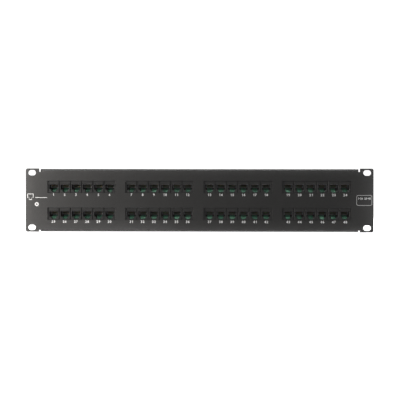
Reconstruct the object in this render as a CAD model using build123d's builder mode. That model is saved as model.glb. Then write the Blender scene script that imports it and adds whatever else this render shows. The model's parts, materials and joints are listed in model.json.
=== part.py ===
from build123d import *
import math
import os

os.makedirs("parts", exist_ok=True)

# A 48-port patch panel, two rack units high, as eight modules of six jacks.
# Millimetres. +X runs to the right as seen from the front, +Y back into the rack, +Z up.
# The origin is the centre of the four rack slots, on the rear face of the ears.

# Rack interface
panel_width = 482.6
panel_height = 88.1
rack_spacing_x = 465.1
rack_spacing_z = 76.2
rack_slot_length = 10.6
rack_slot_height = 7.6

# Folded sheet
sheet = 1.5
body_width = 441.0
body_height = 86.8
flange_depth = 20.0
bend_radius = 2.5
ear_corner = 2.6
relief_width = 2.2
relief_depth_top = 4.6
relief_depth_bottom = 2.4
edge_round = 0.35

# Modules and ports
module_pitch_x = 108.8
module_pitch_z = 37.4
modules_across = 4
ports = 6
port_pitch = 15.7
cutout_width = 94.8
cutout_height = 16.6
cutout_corner = 0.5
cutout_z = -0.3

# Jack housing, with z measured from the module's centre
housing_width = 94.0
housing_height = 15.8
housing_front = 0.1
front_wall = 1.6
rear_wall = 1.7
mouth_half = 6.0
mouth_top = 3.0
mouth_floor = -3.8
latch_half = 3.6
latch_shoulder = -5.2
latch_step = -6.2
tab_half = 2.3
latch_floor = -7.4
cavity_top = 6.6
window_half = 3.6
window_top = -1.6
groove_width = 0.7
groove_depth = 1.8
groove_chamfer = 0.5
lip_half = 6.2
lip_proud = 0.8
lip_height = 0.3
lip_slope = 0.9
lead_in = 0.4
skirt_setback = 1.6
skirt_thickness = 1.2
skirt_overlap = 1.0
peg_radius = 1.0
peg_length = 1.4
peg_x = 2 * port_pitch

# Contact insert and contact wires
insert_half = 5.8
insert_front = 3.0
insert_top = 5.8
insert_bottom = 3.4
insert_nose = 5.1
insert_nose_end = 6.2
comb_front = 11.2
comb_bottom = -1.2
comb_slot_width = 0.65
comb_slot_depth = 0.9
contacts = 8
contact_pitch = 1.016
contact_width = 0.45
contact_thickness = 0.3
contact_top = 6.05
contact_bend = 0.65
contact_slope = 30.0
contact_end = 11.9

# Circuit board, its standoffs and its screws
board_front = 14.3
board_thickness = 1.6
board_width = 107.0
board_height = 36.0
board_corner = 1.0
screw_x = 50.5
screw_z = 13.0
screw_hole_radius = 1.7
standoff_flats = 6.0
standoff_bore_radius = 1.55
standoff_bore_depth = 5.0
screw_radius = 1.45
screw_length = 5.6
screw_head_radius = 2.75
screw_head_height = 1.9
recess_length = 3.0
recess_width = 0.7
recess_depth = 1.1
hole_clearance = 0.1

# Connecting blocks and their clips
block_pitch = 30.48
block_width = 30.2
block_depth = 8.0
block_length = 15.1
block_row_z = 11.3
wire_pitch = 3.81
wire_slot_width = 1.2
wire_slot_depth = 9.0
notch_width = 2.5
notch_depth = 1.5
short_tooth = 1.4
tip_chamfer = 1.4
pocket_width = 29.2
pocket_thickness = 0.6
pocket_length = 11.4
clip_width = 2.4
clip_thickness = 0.4
clip_length = 11.0
clip_slit_width = 0.4
clip_slit_length = 5.5

# Wiring label between the two rows of blocks
label_width = 91.0
label_height = 9.0
label_thickness = 0.2

board_back = board_front + board_thickness
body_half = body_width / 2
ear_width = panel_width / 2 - body_half
port_xs = [port_pitch * (i - (ports - 1) / 2) for i in range(ports)]
contact_xs = [contact_pitch * (i - (contacts - 1) / 2) for i in range(contacts)]
wire_xs = [wire_pitch * (i - (contacts - 1) / 2) for i in range(contacts)]
block_places = [
    (column * block_pitch, row * block_row_z) for row in (1, -1) for column in (-1, 0, 1)
]


def facing_front(y):
    """The plane at depth y that faces the front, with its own y axis pointing up."""
    return Plane(origin=(0, y, 0), x_dir=(1, 0, 0), z_dir=(0, -1, 0))


def side_on(x=0.0):
    """The plane at x whose own x axis points back and whose y axis points up."""
    return Plane(origin=(x, 0, 0), x_dir=(0, 1, 0), z_dir=(1, 0, 0))


# ---------------------------------------------------------------- front panel

with BuildPart() as panel:
    # Channel: the front plate with its top and bottom flanges folded back
    with BuildSketch(side_on()):
        with Locations(((flange_depth - sheet) / 2, 0)):
            outside = Rectangle(flange_depth + sheet, body_height)
        fillet(outside.vertices().group_by(Axis.X)[0], bend_radius)
    extrude(amount=body_half, both=True)
    with BuildSketch(side_on()):
        with Locations((flange_depth / 2, 0)):
            inside = Rectangle(flange_depth, body_height - 2 * sheet)
        fillet(inside.vertices().group_by(Axis.X)[0], bend_radius - sheet)
    extrude(amount=body_half, both=True, mode=Mode.SUBTRACT)

    # Ears
    with BuildSketch(facing_front(0)):
        for side in (-1, 1):
            with Locations((side * (body_half + ear_width / 2), 0)):
                Rectangle(ear_width, panel_height)
        for outer_end in (0, -1):
            fillet(vertices().group_by(Axis.X)[outer_end], ear_corner)
    extrude(amount=sheet)

    # Relief notches between ears and flanges
    with BuildSketch(facing_front(0)):
        for side in (-1, 1):
            notch_x = side * (body_half + relief_width / 2)
            with Locations((notch_x, (panel_height - relief_depth_top) / 2)):
                Rectangle(relief_width, relief_depth_top)
            with Locations((notch_x, (relief_depth_bottom - panel_height) / 2)):
                Rectangle(relief_width, relief_depth_bottom)
    extrude(amount=sheet, mode=Mode.SUBTRACT)

    # Rack slots and module cutouts
    with BuildSketch(facing_front(0)):
        with GridLocations(rack_spacing_x, rack_spacing_z, 2, 2):
            SlotOverall(rack_slot_length, rack_slot_height)
        with Locations((0, cutout_z)):
            with GridLocations(module_pitch_x, module_pitch_z, modules_across, 2):
                RectangleRounded(cutout_width, cutout_height, cutout_corner)
    extrude(amount=sheet, mode=Mode.SUBTRACT)

    # The coating rounds the front edges of every cutout and slot
    front_face = panel.faces().sort_by(Axis.Y)[0]
    fillet(front_face.inner_wires().edges(), edge_round)

panel.part.label = "panel"
export_step(panel.part, "parts/panel.step")


# ---------------------------------------------------------------- one jack module, at x = z = 0

with BuildPart() as housing:
    with BuildSketch(facing_front(housing_front)):
        with Locations((0, cutout_z)):
            Rectangle(housing_width, housing_height)
    extrude(amount=-(board_front - housing_front))

    # Skirt behind the panel, which covers the gap round the housing
    with BuildSketch(facing_front(housing_front + skirt_setback)):
        with Locations((0, cutout_z)):
            Rectangle(cutout_width + 2 * skirt_overlap, cutout_height + 2 * skirt_overlap)
    extrude(amount=-skirt_thickness)

    # Mouths through the front wall: full width for the plug, then funnelled to the latch channel
    right_side = [
        (mouth_half, mouth_top),
        (mouth_half, mouth_floor),
        (latch_half, latch_shoulder),
        (latch_half, latch_step),
        (tab_half, latch_step),
        (tab_half, latch_floor),
    ]
    left_side = [(-x, z) for x, z in reversed(right_side)]
    with BuildSketch(facing_front(housing_front)):
        with Locations(*[(x, 0) for x in port_xs]):
            Polygon(*right_side, *left_side)
    extrude(amount=-front_wall, mode=Mode.SUBTRACT)

    # Lead-in round each mouth, except along its top
    mouth_edges = [
        edge
        for edge in housing.faces().sort_by(Axis.Y)[0].inner_wires().edges()
        if edge.center().Z < mouth_top - lead_in
    ]
    chamfer(mouth_edges, lead_in)

    # Grooves that part the six jack faces, chamfered along the front
    groove_half = groove_width / 2
    with BuildSketch(Plane.XY.offset(cutout_z)):
        with Locations(*[((a + b) / 2, housing_front) for a, b in zip(port_xs, port_xs[1:])]):
            Polygon(
                (-groove_half - groove_chamfer, 0),
                (groove_half + groove_chamfer, 0),
                (groove_half, groove_chamfer),
                (groove_half, groove_depth),
                (-groove_half, groove_depth),
                (-groove_half, groove_chamfer),
                align=None,
            )
    extrude(amount=housing_height / 2, both=True, mode=Mode.SUBTRACT)

    # A sloping lip over each mouth
    with BuildSketch(*[side_on(x) for x in port_xs]):
        with BuildLine():
            Polyline(
                (housing_front, mouth_top),
                (housing_front - lip_proud, mouth_top),
                (housing_front - lip_proud, mouth_top + lip_height),
                (housing_front, mouth_top + lip_height + lip_slope),
                close=True,
            )
        make_face()
    extrude(amount=lip_half, both=True)

    # Cavities behind the front wall, with room for the contacts above and the latch below
    with BuildSketch(facing_front(housing_front + front_wall)):
        for x in port_xs:
            with Locations((x, (cavity_top + mouth_floor) / 2)):
                Rectangle(2 * mouth_half, cavity_top - mouth_floor)
            with Locations((x, (mouth_floor + latch_floor) / 2)):
                Rectangle(2 * latch_half, mouth_floor - latch_floor)
    extrude(amount=-(board_front - rear_wall - housing_front - front_wall), mode=Mode.SUBTRACT)

    # Rear wall: a window onto the board below, and a gap for the contact tails above
    with BuildSketch(facing_front(board_front - rear_wall)):
        for x in port_xs:
            with Locations((x, (window_top + latch_floor) / 2)):
                Rectangle(2 * window_half, window_top - latch_floor)
            with Locations((x, (cavity_top + mouth_top) / 2)):
                Rectangle(2 * mouth_half, cavity_top - mouth_top)
    extrude(amount=-rear_wall, mode=Mode.SUBTRACT)

    # Pegs that locate the housing in the board
    with BuildSketch(facing_front(board_front)):
        with Locations((-peg_x, 0), (peg_x, 0)):
            Circle(peg_radius)
    extrude(amount=-peg_length)

# Contact insert of one jack: a slab that carries the contacts, and a comb that keeps their ends apart
with BuildPart() as insert:
    with BuildSketch(side_on()):
        with BuildLine():
            Polyline(
                (insert_front, insert_top),
                (board_front - rear_wall, insert_top),
                (board_front - rear_wall, comb_bottom),
                (comb_front, comb_bottom),
                (comb_front, insert_bottom),
                (insert_nose_end, insert_bottom),
                (insert_front, insert_nose),
                close=True,
            )
        make_face()
    extrude(amount=insert_half, both=True)
    with BuildSketch(facing_front(comb_front)):
        with Locations(*[(x, (comb_bottom + insert_bottom) / 2) for x in contact_xs]):
            Rectangle(comb_slot_width, insert_bottom - comb_bottom)
    extrude(amount=-comb_slot_depth, mode=Mode.SUBTRACT)


# One contact: from its pad on the board, forward over the insert, round its nose and back down
bend_half_turn = math.radians(180 - contact_slope) / 2
contact_nose = insert_front - contact_bend * math.tan(bend_half_turn)
contact_fall = math.tan(math.radians(contact_slope)) * (contact_end - contact_nose)
with BuildPart() as contact_wire:
    with BuildSketch(side_on()):
        with BuildLine():
            FilletPolyline(
                (board_front, contact_top),
                (contact_nose, contact_top),
                (contact_end, contact_top - contact_fall),
                radius=contact_bend,
            )
        trace(line_width=contact_thickness)
    extrude(amount=contact_width / 2, both=True)

with BuildPart() as contacts_of_module:
    with Locations(*[(x + dx, 0, 0) for x in port_xs for dx in contact_xs]):
        add(contact_wire.part)

with BuildPart() as inserts_of_module:
    with Locations(*[(x, 0, 0) for x in port_xs]):
        add(insert.part)

with BuildPart() as board:
    with BuildSketch(facing_front(board_front)):
        RectangleRounded(board_width, board_height, board_corner)
        with GridLocations(2 * screw_x, 2 * screw_z, 2, 2):
            Circle(screw_hole_radius, mode=Mode.SUBTRACT)
        with Locations((-peg_x, 0), (peg_x, 0)):
            Circle(peg_radius + hole_clearance, mode=Mode.SUBTRACT)
    extrude(amount=-board_thickness)

# Connecting block for the four pairs of one cable, with teeth that part its eight wires
with BuildPart() as block:
    with BuildSketch(facing_front(board_back)):
        Rectangle(block_width, block_depth)
    extrude(amount=-block_length)
    block_end = block.faces().sort_by(Axis.Y)[-1]
    chamfer(block_end.edges().filter_by(Axis.X), tip_chamfer)
    # Wire slots, each with a notch that leads the wire in
    with BuildSketch(Plane.XY):
        for dx in wire_xs:
            with Locations((dx, board_back + block_length - wire_slot_depth / 2)):
                Rectangle(wire_slot_width, wire_slot_depth)
            with BuildLine():
                Polyline(
                    (dx - notch_width / 2, board_back + block_length),
                    (dx, board_back + block_length - notch_depth),
                    (dx + notch_width / 2, board_back + block_length),
                    close=True,
                )
            make_face()
        # The tooth between the two wires of a pair is the shorter one
        for dx in wire_xs[::2]:
            with Locations((dx + wire_pitch / 2, board_back + block_length - short_tooth / 2)):
                Rectangle(wire_pitch, short_tooth)
    extrude(amount=block_depth, both=True, mode=Mode.SUBTRACT)
    # One long pocket for the row of clips, open towards the board
    with BuildSketch(facing_front(board_back)):
        Rectangle(pocket_width, pocket_thickness)
    extrude(amount=-pocket_length, mode=Mode.SUBTRACT)

with BuildPart() as blocks_of_module:
    with Locations(*[(x, 0, z) for x, z in block_places]):
        add(block.part)

# Insulation-displacement clip, soldered to the board: two tines with a slit for the wire
with BuildPart() as clip:
    with BuildSketch(Plane.XY):
        with Locations((0, board_back + clip_length / 2)):
            Rectangle(clip_width, clip_length)
        with Locations((0, board_back + clip_length - clip_slit_length / 2)):
            Rectangle(clip_slit_width, clip_slit_length, mode=Mode.SUBTRACT)
    extrude(amount=clip_thickness / 2, both=True)

with BuildPart() as clips_of_module:
    with Locations(*[(x + dx, 0, z) for x, z in block_places for dx in wire_xs]):
        add(clip.part)

with BuildPart() as label:
    with BuildSketch(facing_front(board_back)):
        RectangleRounded(label_width, label_height, board_corner)
    extrude(amount=-label_thickness)

# ---------------------------------------------------------------- eight modules

module_pieces = {
    "jack_housing": housing,
    "contact_inserts": inserts_of_module,
    "contact_wires": contacts_of_module,
    "circuit_board": board,
    "connecting_blocks": blocks_of_module,
    "idc_clips": clips_of_module,
    "wiring_label": label,
}
module_centres = [
    (module_pitch_x * (column - (modules_across - 1) / 2), row * module_pitch_z / 2)
    for row in (1, -1)
    for column in range(modules_across)
]

for number, (module_x, module_z) in enumerate(module_centres):
    first_port = number * ports + 1
    port_range = f"ports_{first_port:02d}_{first_port + ports - 1:02d}"
    for piece_name, piece in module_pieces.items():
        with BuildPart() as placed:
            with Locations((module_x, 0, module_z)):
                add(piece.part)
        placed.part.label = f"{piece_name}_{port_range}"
        export_step(placed.part, f"parts/{placed.part.label}.step")

# ---------------------------------------------------------------- fasteners

fastener_places = [
    (x + side * screw_x, 0, z + row * screw_z)
    for x, z in module_centres
    for side in (-1, 1)
    for row in (-1, 1)
]

# Standoff welded to the back of the panel, bored for the screw
with BuildPart() as standoff:
    with BuildSketch(facing_front(0)):
        RegularPolygon(standoff_flats / 2, 6, major_radius=False)
    extrude(amount=-board_front)
    with BuildSketch(facing_front(board_front)):
        Circle(standoff_bore_radius)
    extrude(amount=standoff_bore_depth, mode=Mode.SUBTRACT)

with BuildPart() as standoffs:
    with Locations(*fastener_places):
        add(standoff.part)
standoffs.part.label = "standoffs"
export_step(standoffs.part, "parts/standoffs.step")

# Pan-head screw, driven from behind
with BuildPart() as screw:
    with BuildSketch(facing_front(board_back)):
        Circle(screw_radius)
    extrude(amount=screw_length)
    with BuildSketch(facing_front(board_back)):
        Circle(screw_head_radius)
    extrude(amount=-screw_head_height)
    head_end = screw.faces().sort_by(Axis.Y)[-1]
    fillet(head_end.edges(), screw_head_height / 2)
    with BuildSketch(facing_front(board_back + screw_head_height)):
        Rectangle(recess_length, recess_width)
        Rectangle(recess_width, recess_length)
    extrude(amount=recess_depth, mode=Mode.SUBTRACT)

with BuildPart() as screws:
    with Locations(*fastener_places):
        add(screw.part)
screws.part.label = "board_screws"
export_step(screws.part, "parts/board_screws.step")
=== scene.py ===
import json
import math

import bmesh
import bpy
from mathutils import Matrix, Vector


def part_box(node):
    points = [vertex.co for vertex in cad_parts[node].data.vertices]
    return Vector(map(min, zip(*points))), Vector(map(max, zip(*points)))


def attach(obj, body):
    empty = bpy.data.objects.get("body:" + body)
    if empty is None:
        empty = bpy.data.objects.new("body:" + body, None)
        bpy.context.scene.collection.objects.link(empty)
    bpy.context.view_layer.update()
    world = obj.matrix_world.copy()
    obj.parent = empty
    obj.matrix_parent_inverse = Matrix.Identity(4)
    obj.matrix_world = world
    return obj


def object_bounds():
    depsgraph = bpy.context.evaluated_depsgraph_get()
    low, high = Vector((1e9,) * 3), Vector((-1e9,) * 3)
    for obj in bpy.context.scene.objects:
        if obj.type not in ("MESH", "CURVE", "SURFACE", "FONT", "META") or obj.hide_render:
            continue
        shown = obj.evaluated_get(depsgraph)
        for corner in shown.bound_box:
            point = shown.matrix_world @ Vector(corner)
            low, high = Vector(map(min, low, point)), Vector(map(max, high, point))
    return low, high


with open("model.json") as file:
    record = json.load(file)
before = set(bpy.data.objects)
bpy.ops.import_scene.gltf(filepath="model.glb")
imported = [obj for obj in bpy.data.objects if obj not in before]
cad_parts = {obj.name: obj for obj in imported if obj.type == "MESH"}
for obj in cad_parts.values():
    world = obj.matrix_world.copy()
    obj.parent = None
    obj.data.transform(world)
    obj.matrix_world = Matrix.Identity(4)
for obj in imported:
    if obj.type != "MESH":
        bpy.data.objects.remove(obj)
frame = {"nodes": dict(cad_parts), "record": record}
cad_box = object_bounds()

# A 48-port patch panel, seen from the front: +X right, +Y back into the rack, +Z up, all in metres.
MM = 0.001
panel_low, panel_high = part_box("panel")
front_y = panel_low[1]
ports = {
    int(mount["name"][-2:]): Vector(mount["pos_m"])
    for mount in frame["record"]["mounts"]
    if mount["name"].startswith("port_")
}
PORTS_IN_MODULE = 6
MODULE_PITCH = ports[1 + PORTS_IN_MODULE].x - ports[1].x
ROW_Z = ports[1].z

# Three connecting blocks stand side by side on a board, above and below the label. Each takes eight wires.
BLOCKS_IN_ROW = 3
BLOCK_PITCH = 30.48 * MM
WIRE_PITCH = 3.81 * MM
block_back_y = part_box("connecting_blocks_ports_01_06")[1][1]

INK_THICKNESS = 0.03 * MM


# ---------------------------------------------------------------- shader helpers

# The Mix node repeats its sockets for each type of data. These are the ones for colours.
MIX_FIRST, MIX_SECOND, MIX_RESULT = 6, 7, 2


def new_material(name):
    """A material with its node tree, the Principled shader, and the object's own coordinates in metres."""
    material = bpy.data.materials.new(name)
    material.use_nodes = True
    tree = material.node_tree
    shader = tree.nodes["Principled BSDF"]
    place = tree.nodes.new("ShaderNodeTexCoord").outputs["Object"]
    return material, tree, shader, place


def feed(tree, socket, value):
    """Sets a socket to a number or to red, green and blue, or links another node's output to it."""
    if isinstance(value, (int, float)):
        socket.default_value = value
    elif isinstance(value, tuple):
        socket.default_value = (*value, 1.0)
    else:
        tree.links.new(value, socket)


def noise(tree, place, per_metre, detail=2.0):
    """Noise from 0 to 1 with this many cells to a metre."""
    node = tree.nodes.new("ShaderNodeTexNoise")
    node.inputs["Scale"].default_value = per_metre
    node.inputs["Detail"].default_value = detail
    tree.links.new(place, node.inputs["Vector"])
    return node.outputs["Fac"]


def ramp(tree, value, *stops):
    """A colour ramp from (position, colour) stops, a colour being a grey level or red, green and blue."""
    node = tree.nodes.new("ShaderNodeValToRGB")
    elements = node.color_ramp.elements
    while len(elements) < len(stops):
        elements.new(0.5)
    for element, (position, colour) in zip(elements, stops):
        element.position = position
        rgb = (colour,) * 3 if isinstance(colour, (int, float)) else colour
        element.color = (*rgb, 1.0)
    tree.links.new(value, node.inputs["Fac"])
    return node.outputs["Color"]


def spread(tree, value, low, high):
    """A value from 0 to 1 spread over low to high."""
    node = tree.nodes.new("ShaderNodeMapRange")
    node.inputs["To Min"].default_value = low
    node.inputs["To Max"].default_value = high
    tree.links.new(value, node.inputs["Value"])
    return node.outputs["Result"]


def maths(tree, operation, first, second=0.0):
    """A Math node on numbers or other nodes' outputs."""
    node = tree.nodes.new("ShaderNodeMath")
    node.operation = operation
    feed(tree, node.inputs[0], first)
    feed(tree, node.inputs[1], second)
    return node.outputs["Value"]


def mix(tree, factor, first, second):
    """The first colour where the factor is 0, the second where it is 1."""
    node = tree.nodes.new("ShaderNodeMix")
    node.data_type = "RGBA"
    feed(tree, node.inputs["Factor"], factor)
    feed(tree, node.inputs[MIX_FIRST], first)
    feed(tree, node.inputs[MIX_SECOND], second)
    return node.outputs[MIX_RESULT]


def axis_of(tree, place, axis):
    """The X, Y or Z of a place."""
    node = tree.nodes.new("ShaderNodeSeparateXYZ")
    tree.links.new(place, node.inputs["Vector"])
    return node.outputs[axis]


def bump(tree, shader, *layers):
    """Stacks (height, depth in metres) layers of bump on the shader."""
    normal = None
    for height, depth in layers:
        node = tree.nodes.new("ShaderNodeBump")
        node.inputs["Strength"].default_value = 1.0
        node.inputs["Distance"].default_value = depth
        tree.links.new(height, node.inputs["Height"])
        if normal is not None:
            tree.links.new(normal, node.inputs["Normal"])
        normal = node.outputs["Normal"]
    tree.links.new(normal, shader.inputs["Normal"])


def within_module(tree, place):
    """X measured from the left end of a module's row of connecting blocks."""
    # Whole pitches are added to keep X positive, because the remainder takes its sign.
    added_pitches = 20
    positive_x = maths(tree, "ADD", axis_of(tree, place, "X"), added_pitches * MODULE_PITCH)
    in_module = maths(tree, "MODULO", positive_x, MODULE_PITCH)
    row_start = (MODULE_PITCH - BLOCKS_IN_ROW * BLOCK_PITCH) / 2
    return maths(tree, "SUBTRACT", in_module, row_start)


def from_row(tree, place):
    """Distance up or down from the middle of the nearer row of ports."""
    height = maths(tree, "ABSOLUTE", axis_of(tree, place, "Z"))
    return maths(tree, "ABSOLUTE", maths(tree, "SUBTRACT", height, ROW_Z))


# ---------------------------------------------------------------- materials

def powder_coat():
    """Black powder coat: a fine grain on a soft orange peel."""
    material, tree, shader, place = new_material("powder_coat")
    clouds = noise(tree, place, per_metre=25, detail=3)
    grain = noise(tree, place, per_metre=1500)
    peel = noise(tree, place, per_metre=420)
    tint = ramp(tree, clouds, (0.3, (0.0150, 0.0146, 0.0143)), (0.7, (0.0190, 0.0186, 0.0183)))
    specks = ramp(tree, grain, (0.45, 0.0), (0.75, 1.0))
    speck_colour = (0.030, 0.0295, 0.029)
    tree.links.new(mix(tree, specks, tint, speck_colour), shader.inputs["Base Color"])
    tree.links.new(spread(tree, peel, low=0.42, high=0.58), shader.inputs["Roughness"])
    bump(tree, shader, (peel, 0.03 * MM), (grain, 0.035 * MM))
    return material


def moulded_plastic(name, dark, light, rough, paint=None):
    """Moulded plastic: fine spark grain, faint flow marks and a little variation in gloss."""
    material, tree, shader, place = new_material(name)
    flow = noise(tree, place, per_metre=90, detail=3)
    grain = noise(tree, place, per_metre=5200)
    colour = ramp(tree, flow, (0.3, dark), (0.7, light))
    if paint:
        colour = paint(tree, place, colour)
    tree.links.new(colour, shader.inputs["Base Color"])
    tree.links.new(spread(tree, flow, low=rough - 0.05, high=rough + 0.07), shader.inputs["Roughness"])
    bump(tree, shader, (flow, 0.02 * MM), (grain, 0.006 * MM))
    return material


def plated(name, dark, light, rough):
    """Plated metal with fine drawing marks and slight tarnish."""
    material, tree, shader, place = new_material(name)
    tarnish = noise(tree, place, per_metre=700, detail=3)
    drawn = noise(tree, place, per_metre=9000, detail=1)
    tree.links.new(ramp(tree, tarnish, (0.35, dark), (0.65, light)), shader.inputs["Base Color"])
    tree.links.new(spread(tree, tarnish, low=rough - 0.06, high=rough + 0.1), shader.inputs["Roughness"])
    shader.inputs["Metallic"].default_value = 1.0
    bump(tree, shader, (drawn, 0.004 * MM))
    return material


def board_tracks(tree, place):
    """1 on the copper tracks: level runs that climb at 45 degrees from one level to the next and back."""
    track_pitch = 1.5 * MM
    track_share = 0.34
    run = 6.0 * MM
    along = maths(tree, "PINGPONG", axis_of(tree, place, "X"), 2 * run)
    past_half_run = maths(tree, "MAXIMUM", maths(tree, "SUBTRACT", along, run / 2), 0.0)
    climb = maths(tree, "MINIMUM", past_half_run, run)
    level = maths(tree, "ADD", axis_of(tree, place, "Z"), climb)
    in_pitch = maths(tree, "FRACT", maths(tree, "DIVIDE", level, track_pitch))
    return maths(tree, "LESS_THAN", in_pitch, track_share)


def solder_mask():
    """Green solder mask on glass laminate, paler over copper tracks, with a painted glow in a patchy band
    beside each row of ports.
    """
    # Middle and half width of the band painted as glow, measured from the middle of each row of ports.
    glow_band_middle = 5.9 * MM
    glow_band_half_width = 1.3 * MM
    track_colour = (0.06, 0.43, 0.22)
    material, tree, shader, place = new_material("solder_mask")
    shader.inputs["Transmission Weight"].default_value = 0.45
    weave = noise(tree, place, per_metre=2600, detail=1)
    copper = board_tracks(tree, place)
    mask = ramp(tree, weave, (0.3, (0.030, 0.27, 0.135)), (0.7, (0.038, 0.33, 0.165)))
    tracked = mix(tree, copper, mask, track_colour)
    from_glow_band = maths(tree, "ABSOLUTE", maths(tree, "SUBTRACT", from_row(tree, place), glow_band_middle))
    in_glow_band = maths(tree, "LESS_THAN", from_glow_band, glow_band_half_width)
    # Painted glow: the band gets a lighter green, brighter in random patches, for light shining through the
    # board from behind.
    glow_patches = noise(tree, place, per_metre=60, detail=1)
    painted_glow = ramp(tree, glow_patches, (0.40, (0.075, 0.20, 0.135)), (0.62, (0.20, 0.44, 0.30)))
    tree.links.new(mix(tree, in_glow_band, tracked, painted_glow), shader.inputs["Base Color"])
    tree.links.new(spread(tree, weave, low=0.26, high=0.4), shader.inputs["Roughness"])
    bump(tree, shader, (copper, 0.035 * MM), (weave, 0.01 * MM))
    return material


# Blue, orange, green and brown
PAIR_COLOURS = [(0.03, 0.12, 0.55), (0.85, 0.24, 0.02), (0.03, 0.34, 0.07), (0.20, 0.09, 0.035)]


def pair_colour(tree, position):
    """The four pair colours one after another along each block, in equal parts."""
    steps = [(index / len(PAIR_COLOURS), colour) for index, colour in enumerate(PAIR_COLOURS)]
    along = maths(tree, "MODULO", position, BLOCK_PITCH)
    share = maths(tree, "DIVIDE", along, BLOCK_PITCH)
    colour = ramp(tree, share, *steps)
    colour.node.color_ramp.interpolation = "CONSTANT"
    return colour


def paint_tooth_tips(tree, place, plain):
    """Plain plastic with the pair colour on the tip of the tooth between the two wires of each pair."""
    tip_length = 2.4 * MM
    tooth_half_width = 1.35 * MM
    position = within_module(tree, place)
    tip = maths(tree, "GREATER_THAN", axis_of(tree, place, "Y"), block_back_y - tip_length)
    in_pair = maths(tree, "MODULO", position, 2 * WIRE_PITCH)
    from_tooth = maths(tree, "ABSOLUTE", maths(tree, "SUBTRACT", in_pair, WIRE_PITCH))
    tooth = maths(tree, "LESS_THAN", from_tooth, tooth_half_width)
    painted = maths(tree, "MULTIPLY", tip, tooth)
    return mix(tree, painted, plain, pair_colour(tree, position))


def label_print():
    """White strip printed with a bar for each wire: pair colour and its striped white mate in turn."""
    bar_half_width = 1.1 * MM
    bar_start = 2.0 * MM
    bar_end = 4.2 * MM
    stripe_pitch = 0.8 * MM
    material, tree, shader, place = new_material("label_print")
    paper = noise(tree, place, per_metre=900)
    white = ramp(tree, paper, (0.3, 0.70), (0.7, 0.76))

    position = within_module(tree, place)
    in_wire = maths(tree, "MODULO", position, WIRE_PITCH)
    from_wire = maths(tree, "ABSOLUTE", maths(tree, "SUBTRACT", in_wire, WIRE_PITCH / 2))
    across_bar = maths(tree, "LESS_THAN", from_wire, bar_half_width)

    height = from_row(tree, place)
    past_start = maths(tree, "GREATER_THAN", height, bar_start)
    before_end = maths(tree, "LESS_THAN", height, bar_end)
    along_bar = maths(tree, "MULTIPLY", past_start, before_end)

    in_pair = maths(tree, "MODULO", position, 2 * WIRE_PITCH)
    solid = maths(tree, "GREATER_THAN", in_pair, WIRE_PITCH)
    in_stripe = maths(tree, "MODULO", height, stripe_pitch)
    stripe = maths(tree, "GREATER_THAN", in_stripe, stripe_pitch / 2)
    filled = maths(tree, "MAXIMUM", solid, stripe)

    inked = maths(tree, "MULTIPLY", maths(tree, "MULTIPLY", across_bar, filled), along_bar)
    tree.links.new(mix(tree, inked, white, pair_colour(tree, position)), shader.inputs["Base Color"])
    shader.inputs["Roughness"].default_value = 0.38
    bump(tree, shader, (paper, 0.01 * MM))
    return material


def print_ink():
    """Screen-print ink, thin enough for the coat's grain to show through."""
    material, tree, shader, place = new_material("print_ink")
    grain = noise(tree, place, per_metre=1500)
    tree.links.new(ramp(tree, grain, (0.3, 0.60), (0.7, 0.72)), shader.inputs["Base Color"])
    tree.links.new(spread(tree, grain, low=0.5, high=0.7), shader.inputs["Roughness"])
    bump(tree, shader, (grain, 0.02 * MM))
    return material


def dress(material, *beginnings):
    """Gives the material to every CAD node whose name begins with one of these."""
    for name, node in frame["nodes"].items():
        if name.startswith(beginnings):
            node.data.materials.clear()
            node.data.materials.append(material)


# ---------------------------------------------------------------- flat shapes, x right and y up

def arc_points(centre, radius, start, end, steps=8):
    """Points on an arc, angles in degrees."""
    angles = [math.radians(start + (end - start) * i / steps) for i in range(steps + 1)]
    return [(centre[0] + radius * math.cos(a), centre[1] + radius * math.sin(a)) for a in angles]


def circle_points(centre, radius, count=60):
    """Points on a circle, without the last one that would repeat the first."""
    return arc_points(centre, radius, 0, 360, count)[:-1]


def rounded_box(centre, width, height, radius):
    """Outline of a rectangle with round corners, anticlockwise."""
    x, y = width / 2 - radius, height / 2 - radius
    corners = [(x, y, 0), (-x, y, 90), (-x, -y, 180), (x, -y, 270)]
    outline = []
    for corner_x, corner_y, start in corners:
        place = (centre[0] + corner_x, centre[1] + corner_y)
        outline += arc_points(place, radius, start, start + 90)
    return outline


def plate(name, outline, hole=None):
    """A thin printed plate with this outline. Its hole is a second outline with as many points."""
    build = bmesh.new()
    outer = [build.verts.new((x, y, INK_THICKNESS)) for x, y in outline]
    if hole is None:
        build.faces.new(outer)
    else:
        inner = [build.verts.new((x, y, INK_THICKNESS)) for x, y in hole]
        for i in range(len(outer)):
            j = (i + 1) % len(outer)
            build.faces.new((outer[i], outer[j], inner[j], inner[i]))
    skirt = bmesh.ops.extrude_face_region(build, geom=build.faces[:])
    lowered = [v for v in skirt["geom"] if isinstance(v, bmesh.types.BMVert)]
    bmesh.ops.translate(build, verts=lowered, vec=(0, 0, -INK_THICKNESS))
    bmesh.ops.recalc_face_normals(build, faces=build.faces[:])
    mesh = bpy.data.meshes.new(name)
    build.to_mesh(mesh)
    build.free()
    return mesh


def joined(name, meshes):
    """One mesh from several."""
    whole = bmesh.new()
    for mesh in meshes:
        whole.from_mesh(mesh)
        bpy.data.meshes.remove(mesh)
    result = bpy.data.meshes.new(name)
    whole.to_mesh(result)
    whole.free()
    return result


# ---------------------------------------------------------------- printing on the panel

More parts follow.
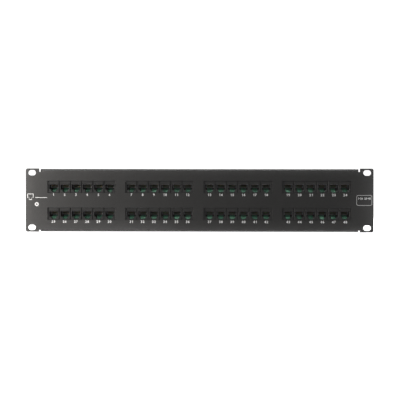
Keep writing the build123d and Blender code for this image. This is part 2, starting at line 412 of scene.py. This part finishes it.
def font_character(character, weight):
    """A solid character of the built-in font with its lower left corner at the origin, and its size."""
    curve = bpy.data.curves.new(f"character_{character}", "FONT")
    curve.body = character
    curve.offset = weight
    curve.extrude = 1.0
    curve.resolution_u = 3
    shape = bpy.data.objects.new(curve.name, curve)
    mesh = bpy.data.meshes.new_from_object(shape)
    bpy.data.objects.remove(shape)
    bpy.data.curves.remove(curve)
    corners = [v.co for v in mesh.vertices]
    low = Vector([min(c[i] for c in corners) for i in range(3)])
    high = Vector([max(c[i] for c in corners) for i in range(3)])
    mesh.transform(Matrix.Translation(-low))
    return mesh, high - low


def drawn_one():
    """A solid "1", a stem with a flag, in shares of a digit's width and height, and its size."""
    width, stem_width = 0.56, 0.30
    flag_low, flag_root, flag_high, flag_start = 0.62, 0.72, 0.80, 0.34
    stem = width - stem_width
    outline = [
        (0, flag_high),
        (0, flag_low),
        (stem, flag_root),
        (stem, 0),
        (width, 0),
        (width, 1),
        (flag_start, 1),
    ]
    return plate("drawn_one", outline), Vector((width, 1, INK_THICKNESS))


def lettering(text, centre, height, width, weight):
    """Solid characters as one mesh centred on (x, y). An "8" has this height and width."""
    eight, eight_size = font_character("8", weight)
    bpy.data.meshes.remove(eight)
    # Every character has a cell of the same width, a little wider than an "8".
    cell = 1.28 * width
    letters = []
    edges = []
    for index, character in enumerate(text):
        if character == "1":
            mesh, size = drawn_one()
            across, up = width, height
        else:
            mesh, size = font_character(character, weight)
            across, up = width / eight_size.x, height / eight_size.y
        start = index * cell + (width - across * size.x) / 2
        foot = (height - up * size.y) / 2 if character == "-" else 0.0
        fit = Matrix.Diagonal((across, up, INK_THICKNESS / size.z, 1))
        mesh.transform(Matrix.Translation((start, foot, 0)) @ fit)
        letters.append(mesh)
        edges += [start, start + across * size.x]
    whole = joined(f"letters_{text}", letters)
    middle = (min(edges) + max(edges)) / 2
    whole.transform(Matrix.Translation((centre[0] - middle, centre[1] - height / 2, 0)))
    return whole


def printed(name, mesh, ink):
    """A printed piece on the panel's front, from a flat mesh laid out with x right and y up."""
    piece = bpy.data.objects.new(name, mesh)
    bpy.context.scene.collection.objects.link(piece)
    mesh.transform(Matrix.Translation((0, front_y, 0)) @ Matrix.Rotation(math.radians(90), 4, "X"))
    mesh.materials.append(ink)
    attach(piece, "root")


def port_numbers(ink):
    """The number under each port, one piece for each module."""
    height = 3.5 * MM
    width = 2.25 * MM
    weight = 0.035
    below_port = 11.15 * MM
    for first in range(1, len(ports) + 1, PORTS_IN_MODULE):
        last = first + PORTS_IN_MODULE - 1
        letters = [
            lettering(str(n), (ports[n].x, ports[n].z - below_port), height, width, weight)
            for n in range(first, last + 1)
        ]
        name = f"port_numbers_{first:02d}_{last:02d}"
        printed(name, joined(name, letters), ink)


def jack_outline(centre, reach):
    """A modular jack's mouth, tab side down, reaching this far from its centre."""
    x, y = centre
    tab = reach * 0.45
    shoulder = y - reach * 0.35
    return [
        (x + reach, y + reach),
        (x - reach, y + reach),
        (x - reach, shoulder),
        (x - tab, shoulder),
        (x - tab, y - reach),
        (x + tab, y - reach),
        (x + tab, shoulder),
        (x + reach, shoulder),
    ]


def left_marks(ink):
    """Plain marks at the left end: a jack symbol, a bar and a ring."""
    edge = panel_low[0]

    jack_centre = (edge + 6.6 * MM, 4.6 * MM)
    jack_reach = 4.3 * MM
    jack_stroke = 0.75 * MM
    outer = jack_outline(jack_centre, jack_reach)
    inner = jack_outline(jack_centre, jack_reach - jack_stroke)
    printed("jack_symbol", plate("jack_symbol", outer, inner), ink)

    bar_centre = (edge + 21.8 * MM, 3.5 * MM)
    bar = rounded_box(bar_centre, width=16.4 * MM, height=0.8 * MM, radius=0.35 * MM)
    printed("left_bar", plate("left_bar", bar), ink)

    ring_centre = (edge + 15.5 * MM, -5.7 * MM)
    outer = circle_points(ring_centre, radius=2.8 * MM)
    inner = circle_points(ring_centre, radius=1.2 * MM)
    printed("left_ring", plate("left_ring", outer, inner), ink)


def right_marks(ink):
    """A rounded frame at the right end, with the two ranges of port numbers in it."""
    centre = (panel_high[0] - 12.75 * MM, 0.2 * MM)
    width, height, radius = 21.2 * MM, 14.2 * MM, 2.2 * MM
    stroke = 0.38 * MM
    outer = rounded_box(centre, width, height, radius)
    inner = rounded_box(centre, width - 2 * stroke, height - 2 * stroke, radius - stroke)
    printed("right_frame", plate("right_frame", outer, inner), ink)

    rise = 2.5 * MM
    ranges = [
        lettering(text, (centre[0] + shift, centre[1] + rise), height=2.9 * MM, width=1.35 * MM, weight=0.05)
        for text, shift in (("1-24", -5.3 * MM), ("25-48", 4.5 * MM))
    ]
    printed("right_ranges", joined("right_ranges", ranges), ink)


# ---------------------------------------------------------------- stage, lights and camera

def studio():
    """A white sweep in one sheet: a floor that curves up into a near wall behind and a far wall in front."""
    floor_z = cad_box[0][2]
    half_width = 14.0
    far_wall_y, near_wall_y = -14.0, 1.6
    wall_top = 4.0
    cove = 0.5
    profile = [(far_wall_y, wall_top)]
    profile += arc_points((far_wall_y + cove, floor_z + cove), cove, 180, 270, steps=16)
    profile += arc_points((near_wall_y - cove, floor_z + cove), cove, -90, 0, steps=16)
    profile.append((near_wall_y, wall_top))
    build = bmesh.new()
    rows = [[build.verts.new((x, y, z)) for y, z in profile] for x in (-half_width, half_width)]
    for i in range(len(profile) - 1):
        build.faces.new((rows[0][i], rows[1][i], rows[1][i + 1], rows[0][i + 1]))
    mesh = bpy.data.meshes.new("sweep")
    build.to_mesh(mesh)
    build.free()
    for polygon in mesh.polygons:
        polygon.use_smooth = True
    material, _, shader, _ = new_material("white_sweep")
    shader.inputs["Base Color"].default_value = (0.8, 0.8, 0.8, 1.0)
    shader.inputs["Roughness"].default_value = 0.9
    shader.inputs["Emission Color"].default_value = (1.0, 1.0, 1.0, 1.0)
    shader.inputs["Emission Strength"].default_value = 0.85
    mesh.materials.append(material)
    sweep = bpy.data.objects.new("sweep", mesh)
    bpy.context.scene.collection.objects.link(sweep)
    # The sweep is only a backdrop: it doesn't light the panel, shade it or show in its gloss.
    sweep.visible_glossy = False
    sweep.visible_diffuse = False
    sweep.visible_shadow = False


def soft_light(name, place, target, size, watts, colour=(1.0, 1.0, 1.0)):
    """An area light of this width and height that faces the target and that the camera doesn't see."""
    lamp = bpy.data.lights.new(name, "AREA")
    lamp.shape = "RECTANGLE"
    lamp.size, lamp.size_y = size
    lamp.energy = watts
    lamp.color = colour
    light = bpy.data.objects.new(name, lamp)
    light.location = place
    light.rotation_euler = (Vector(target) - Vector(place)).to_track_quat("-Z", "Y").to_euler()
    light.visible_camera = False
    bpy.context.scene.collection.objects.link(light)


def room_lights():
    """A warm key from the left, a broad light overhead and one behind."""
    soft_light(
        "key",
        place=(-0.55, -0.36, 0.03), target=(-0.2, 0, 0), size=(0.25, 0.25),
        watts=3.2, colour=(1.0, 0.96, 0.92),
    )
    soft_light("overhead", place=(-0.2, -0.35, 0.9), target=(0, 0, 0), size=(1.2, 0.5), watts=2.0)
    soft_light("behind", place=(0.3, 0.9, 0.5), target=(0, 0, 0), size=(1.0, 0.6), watts=14.0)


def edge_lights():
    """Narrow lights close to the panel's edges, for the glare along them."""
    full_strip = (0.5, 0.002)
    low_z, low_target_z = -0.0475, -0.038
    soft_light("top_strip", place=(0, -0.0065, 0.0475), target=(0, 0, 0.040), size=full_strip, watts=0.021)
    soft_light(
        "low_strip",
        place=(0, -0.0085, low_z), target=(0, 0, low_target_z), size=full_strip, watts=0.028,
    )
    soft_light(
        "low_left_strip",
        place=(-0.14, -0.0085, low_z), target=(-0.14, 0, low_target_z), size=(0.2, 0.002), watts=0.022,
    )
    soft_light(
        "left_strip",
        place=(-0.250, -0.022, 0), target=(-0.236, 0, 0), size=(0.012, 0.09),
        watts=0.008, colour=(1.0, 0.97, 0.94),
    )
    soft_light("right_strip", place=(0.258, -0.035, 0), target=(0.235, 0, 0), size=(0.02, 0.09), watts=0.012)


def surroundings():
    """Even white light from all round."""
    world = bpy.data.worlds.new("studio")
    world.use_nodes = True
    background = world.node_tree.nodes["Background"]
    background.inputs["Color"].default_value = (1.0, 1.0, 1.0, 1.0)
    background.inputs["Strength"].default_value = 0.31
    bpy.context.scene.world = world


def camera():
    """A long lens in front of the panel, a little to the right of its middle."""
    distance = 1.3098
    yaw, roll = math.radians(1.7), math.radians(0.09)
    aim = Vector((1.8 * MM, front_y, 0.4 * MM))
    lens = bpy.data.cameras.new("camera")
    lens.lens = 85
    lens.sensor_width = 36
    view = bpy.data.objects.new("camera", lens)
    view.location = aim + Vector((distance * math.sin(yaw), -distance * math.cos(yaw), 0))
    straight = (aim - view.location).to_track_quat("-Z", "Y").to_matrix()
    view.rotation_euler = (straight @ Matrix.Rotation(roll, 3, "Z")).to_euler()
    bpy.context.scene.collection.objects.link(view)
    bpy.context.scene.camera = view
    bpy.context.scene.view_settings.view_transform = "Standard"


camera()
studio()
room_lights()
edge_lights()
surroundings()

dress(powder_coat(), "panel")
dress(moulded_plastic("jack_plastic", dark=0.024, light=0.031, rough=0.30), "jack_housing")
dress(moulded_plastic("insert_plastic", dark=0.33, light=0.38, rough=0.45), "contact_inserts")
dress(
    moulded_plastic("block_plastic", (0.63, 0.62, 0.57), (0.70, 0.69, 0.64), 0.42, paint_tooth_tips),
    "connecting_blocks",
)
dress(plated("contact_gold", (0.72, 0.56, 0.31), (0.84, 0.69, 0.43), rough=0.36), "contact_wires")
dress(plated("clip_tin", (0.58, 0.57, 0.55), (0.72, 0.71, 0.69), rough=0.3), "idc_clips")
dress(plated("zinc", (0.56, 0.57, 0.58), (0.70, 0.70, 0.69), rough=0.32), "standoffs", "board_screws")
dress(solder_mask(), "circuit_board")
dress(label_print(), "wiring_label")

ink = print_ink()
port_numbers(ink)
left_marks(ink)
right_marks(ink)
